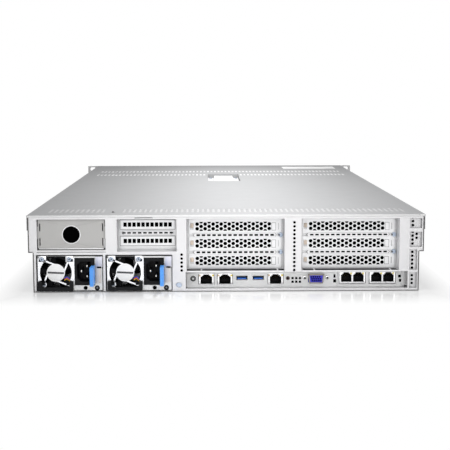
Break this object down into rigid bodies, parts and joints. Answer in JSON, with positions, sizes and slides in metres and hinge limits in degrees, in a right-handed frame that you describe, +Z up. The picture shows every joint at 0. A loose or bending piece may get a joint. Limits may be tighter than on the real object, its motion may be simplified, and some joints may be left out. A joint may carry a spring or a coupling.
{
  "type": "rack server",
  "caption": "Two-unit rack server case with sliding lid, removable power supplies, expansion cages, ports and drive carriers.",
  "frame": {"origin": "centre of the underside of the chassis floor", "axes": "+Y from the rear with the ports towards the drive side, +X to the right seen from the rear, +Z up"},
  "size_m": [0.4826, 0.8016, 0.087],
  "materials": {
    "zinc_steel": "zinc-plated sheet, satin",
    "lid_steel": "zinc-plated sheet, satin",
    "ear_steel": "grey paint",
    "supply_sheet": "bare sheet",
    "black_plastic": "moulded black",
    "blue_plastic": "moulded blue",
    "board": "circuit board",
    "fan_plastic": "moulded dark",
    "sink_aluminium": "bare",
    "bezel_plastic": "moulded dark grey",
    "lever_plastic": "moulded grey",
    "port_metal": "plated shell",
    "video_blue": "moulded blue"
  },
  "bodies": {
    "chassis": {"chassis_tray": "zinc_steel", "rear_panel": "zinc_steel", "front_top_cover": "lid_steel", "bay_blank_plate": "zinc_steel", "drive_cage": "zinc_steel", "drive_backplane": "board", "fan_cage": "zinc_steel", "fan_frames": "fan_plastic", "motherboard": "board", "cpu_heatsinks": "sink_aluminium", "memory_modules": "board", "air_shroud": "black_plastic", "riser_cage_centre": "zinc_steel", "riser_cage_left": "zinc_steel", "riser_cage_right": "zinc_steel", "riser_cards": "board", "slot_covers": "zinc_steel", "io_bracket": "zinc_steel", "network_jacks": "port_metal", "usb_ports": "port_metal", "video_port": "video_blue", "nic_bracket": "zinc_steel", "rack_ears": "ear_steel", "rail_studs_and_screws": "port_metal"},
    "lid": {"lid": "lid_steel"},
    "lid_lever": {"lid_lever": "lever_plastic"},
    "supply_1": {"supply_1_case": "supply_sheet", "supply_1_inlet": "black_plastic", "supply_1_fan_frame": "fan_plastic"},
    "supply_1_rotor": {"supply_1_rotor": "fan_plastic"},
    "supply_1_latch": {"supply_1_latch": "blue_plastic"},
    "supply_1_handle": {"supply_1_handle": "black_plastic"},
    "supply_2": {"supply_2_case": "supply_sheet", "supply_2_inlet": "black_plastic", "supply_2_fan_frame": "fan_plastic"},
    "supply_2_rotor": {"supply_2_rotor": "fan_plastic"},
    "supply_2_latch": {"supply_2_latch": "blue_plastic"},
    "supply_2_handle": {"supply_2_handle": "black_plastic"},
    "fan_1_rotor": {"fan_1_rotor": "fan_plastic"},
    "fan_2_rotor": {"fan_2_rotor": "fan_plastic"},
    "fan_3_rotor": {"fan_3_rotor": "fan_plastic"},
    "fan_4_rotor": {"fan_4_rotor": "fan_plastic"},
    "uid_button": {"uid_button": "blue_plastic"},
    "power_button": {"power_button": "lever_plastic"},
    "drive_carrier_1": {"drive_carrier_1": "bezel_plastic"},
    "carrier_lever_1": {"carrier_lever_1": "lever_plastic"},
    "drive_carrier_2": {"drive_carrier_2": "bezel_plastic"},
    "carrier_lever_2": {"carrier_lever_2": "lever_plastic"},
    "drive_carrier_3": {"drive_carrier_3": "bezel_plastic"},
    "carrier_lever_3": {"carrier_lever_3": "lever_plastic"},
    "drive_carrier_4": {"drive_carrier_4": "bezel_plastic"},
    "carrier_lever_4": {"carrier_lever_4": "lever_plastic"},
    "drive_carrier_5": {"drive_carrier_5": "bezel_plastic"},
    "carrier_lever_5": {"carrier_lever_5": "lever_plastic"},
    "drive_carrier_6": {"drive_carrier_6": "bezel_plastic"},
    "carrier_lever_6": {"carrier_lever_6": "lever_plastic"},
    "drive_carrier_7": {"drive_carrier_7": "bezel_plastic"},
    "carrier_lever_7": {"carrier_lever_7": "lever_plastic"},
    "drive_carrier_8": {"drive_carrier_8": "bezel_plastic"},
    "carrier_lever_8": {"carrier_lever_8": "lever_plastic"}
  },
  "joints": [
    {"name": "lid_slide", "type": "slide", "parent": "chassis", "child": "lid", "axis": [0, -1, 0], "range_m": [0, 0.015]},
    {"name": "lid_lever_hinge", "type": "hinge", "parent": "lid", "child": "lid_lever", "pos_m": [0.004, 0.065, 0.084], "axis": [1, 0, 0], "range_deg": [0, 80]},
    {"name": "supply_1_slide", "type": "slide", "parent": "chassis", "child": "supply_1", "axis": [0, -1, 0], "range_m": [0, 0.2]},
    {"name": "supply_1_rotor_spin", "type": "hinge", "parent": "supply_1", "child": "supply_1_rotor", "pos_m": [-0.1922, -0.39, 0.0215], "axis": [0, 1, 0], "continuous": true},
    {"name": "supply_1_latch_hinge", "type": "hinge", "parent": "supply_1", "child": "supply_1_latch", "pos_m": [-0.1495, -0.3926, 0.0215], "axis": [0, 0, -1], "range_deg": [0, 10], "stiffness_Nm_per_rad": 0.06},
    {"name": "supply_1_handle_hinge", "type": "hinge", "parent": "supply_1", "child": "supply_1_handle", "pos_m": [-0.1914, -0.3931, 0.011], "axis": [-1, 0, 0], "range_deg": [0, 90]},
    {"name": "supply_2_slide", "type": "slide", "parent": "chassis", "child": "supply_2", "axis": [0, -1, 0], "range_m": [0, 0.2]},
    {"name": "supply_2_rotor_spin", "type": "hinge", "parent": "supply_2", "child": "supply_2_rotor", "pos_m": [-0.1146, -0.39, 0.0215], "axis": [0, 1, 0], "continuous": true},
    {"name": "supply_2_latch_hinge", "type": "hinge", "parent": "supply_2", "child": "supply_2_latch", "pos_m": [-0.0719, -0.3926, 0.0215], "axis": [0, 0, -1], "range_deg": [0, 10], "stiffness_Nm_per_rad": 0.06},
    {"name": "supply_2_handle_hinge", "type": "hinge", "parent": "supply_2", "child": "supply_2_handle", "pos_m": [-0.1138, -0.3931, 0.011], "axis": [-1, 0, 0], "range_deg": [0, 90]},
    {"name": "fan_1_spin", "type": "hinge", "parent": "chassis", "child": "fan_1_rotor", "pos_m": [-0.156, 0.1923, 0.0412], "axis": [0, 1, 0], "continuous": true},
    {"name": "fan_2_spin", "type": "hinge", "parent": "chassis", "child": "fan_2_rotor", "pos_m": [-0.052, 0.1923, 0.0412], "axis": [0, 1, 0], "continuous": true},
    {"name": "fan_3_spin", "type": "hinge", "parent": "chassis", "child": "fan_3_rotor", "pos_m": [0.052, 0.1923, 0.0412], "axis": [0, 1, 0], "continuous": true},
    {"name": "fan_4_spin", "type": "hinge", "parent": "chassis", "child": "fan_4_rotor", "pos_m": [0.156, 0.1923, 0.0412], "axis": [0, 1, 0], "continuous": true},
    {"name": "uid_button_push", "type": "slide", "parent": "chassis", "child": "uid_button", "axis": [0, 1, 0], "range_m": [0, 0.001], "stiffness_N_per_m": 400},
    {"name": "power_button_push", "type": "slide", "parent": "chassis", "child": "power_button", "axis": [0, -1, 0], "range_m": [0, 0.001], "stiffness_N_per_m": 400},
    {"name": "drive_carrier_1_slide", "type": "slide", "parent": "chassis", "child": "drive_carrier_1", "axis": [0, 1, 0], "range_m": [0, 0.15]},
    {"name": "carrier_lever_1_hinge", "type": "hinge", "parent": "drive_carrier_1", "child": "carrier_lever_1", "pos_m": [-0.20595, 0.3875, 0.01625], "axis": [0, 0, 1], "range_deg": [0, 60]},
    {"name": "drive_carrier_2_slide", "type": "slide", "parent": "chassis", "child": "drive_carrier_2", "axis": [0, 1, 0], "range_m": [0, 0.15]},
    {"name": "carrier_lever_2_hinge", "type": "hinge", "parent": "drive_carrier_2", "child": "carrier_lever_2", "pos_m": [-0.09945, 0.3875, 0.01625], "axis": [0, 0, 1], "range_deg": [0, 60]},
    {"name": "drive_carrier_3_slide", "type": "slide", "parent": "chassis", "child": "drive_carrier_3", "axis": [0, 1, 0], "range_m": [0, 0.15]},
    {"name": "carrier_lever_3_hinge", "type": "hinge", "parent": "drive_carrier_3", "child": "carrier_lever_3", "pos_m": [0.00705, 0.3875, 0.01625], "axis": [0, 0, 1], "range_deg": [0, 60]},
    {"name": "drive_carrier_4_slide", "type": "slide", "parent": "chassis", "child": "drive_carrier_4", "axis": [0, 1, 0], "range_m": [0, 0.15]},
    {"name": "carrier_lever_4_hinge", "type": "hinge", "parent": "drive_carrier_4", "child": "carrier_lever_4", "pos_m": [0.11355, 0.3875, 0.01625], "axis": [0, 0, 1], "range_deg": [0, 60]},
    {"name": "drive_carrier_5_slide", "type": "slide", "parent": "chassis", "child": "drive_carrier_5", "axis": [0, 1, 0], "range_m": [0, 0.15]},
    {"name": "carrier_lever_5_hinge", "type": "hinge", "parent": "drive_carrier_5", "child": "carrier_lever_5", "pos_m": [-0.20595, 0.3875, 0.04725], "axis": [0, 0, 1], "range_deg": [0, 60]},
    {"name": "drive_carrier_6_slide", "type": "slide", "parent": "chassis", "child": "drive_carrier_6", "axis": [0, 1, 0], "range_m": [0, 0.15]},
    {"name": "carrier_lever_6_hinge", "type": "hinge", "parent": "drive_carrier_6", "child": "carrier_lever_6", "pos_m": [-0.09945, 0.3875, 0.04725], "axis": [0, 0, 1], "range_deg": [0, 60]},
    {"name": "drive_carrier_7_slide", "type": "slide", "parent": "chassis", "child": "drive_carrier_7", "axis": [0, 1, 0], "range_m": [0, 0.15]},
    {"name": "carrier_lever_7_hinge", "type": "hinge", "parent": "drive_carrier_7", "child": "carrier_lever_7", "pos_m": [0.00705, 0.3875, 0.04725], "axis": [0, 0, 1], "range_deg": [0, 60]},
    {"name": "drive_carrier_8_slide", "type": "slide", "parent": "chassis", "child": "drive_carrier_8", "axis": [0, 1, 0], "range_m": [0, 0.15]},
    {"name": "carrier_lever_8_hinge", "type": "hinge", "parent": "drive_carrier_8", "child": "carrier_lever_8", "pos_m": [0.11355, 0.3875, 0.04725], "axis": [0, 0, 1], "range_deg": [0, 60]}
  ],
  "couplings": [
    {"joint": "lid_lever_hinge", "follows": "lid_slide", "rad_per_m": 93}
  ]
}
